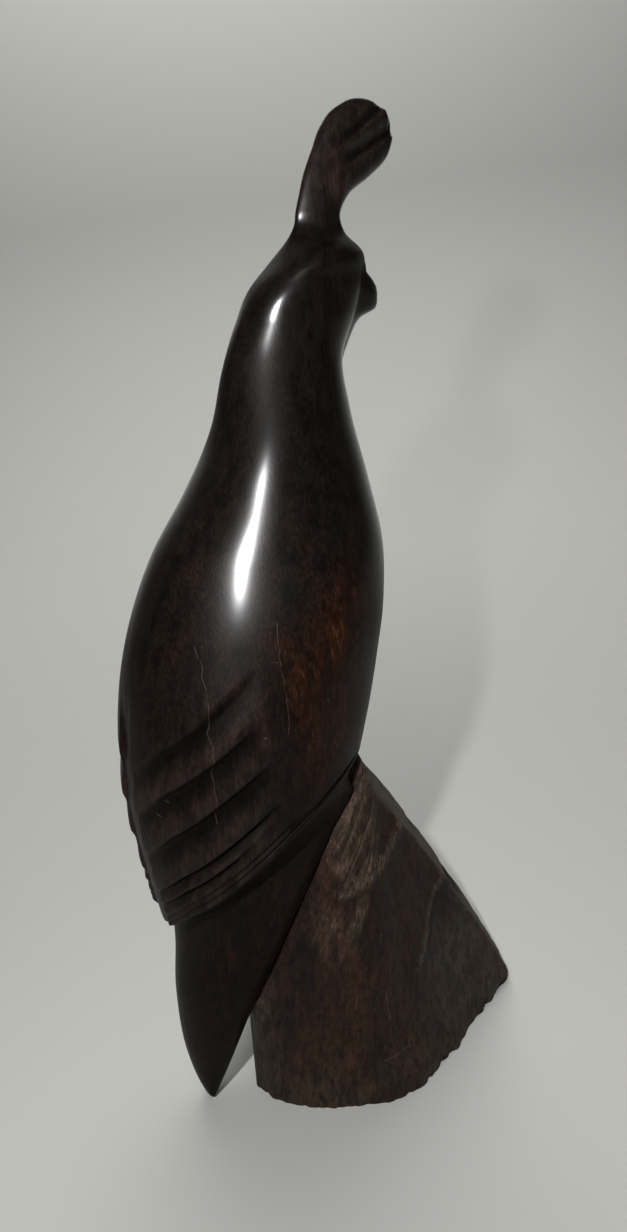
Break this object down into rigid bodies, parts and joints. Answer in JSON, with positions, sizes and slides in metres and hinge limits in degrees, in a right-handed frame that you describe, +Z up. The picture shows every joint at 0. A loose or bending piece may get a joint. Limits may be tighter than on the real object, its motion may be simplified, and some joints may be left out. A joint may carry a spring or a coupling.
{
  "type": "wooden quail carving",
  "caption": "Carved wooden quail standing upright, with a crest, a short beak, folded ribbed wings and a long tail, rising from a rough block of the same dark wood.",
  "frame": {"origin": "a point on the block's flat underside near its middle, in the bird's plane of symmetry", "axes": "+X the way the bird faces, +Y its left side, +Z up"},
  "size_m": [0.1345, 0.0817, 0.3123],
  "materials": {
    "dark_hardwood": "bird polished and waxed to a gloss, block left rasped and matt"
  },
  "bodies": {
    "root": {"quail_carving": "dark_hardwood"}
  },
  "joints": []
}
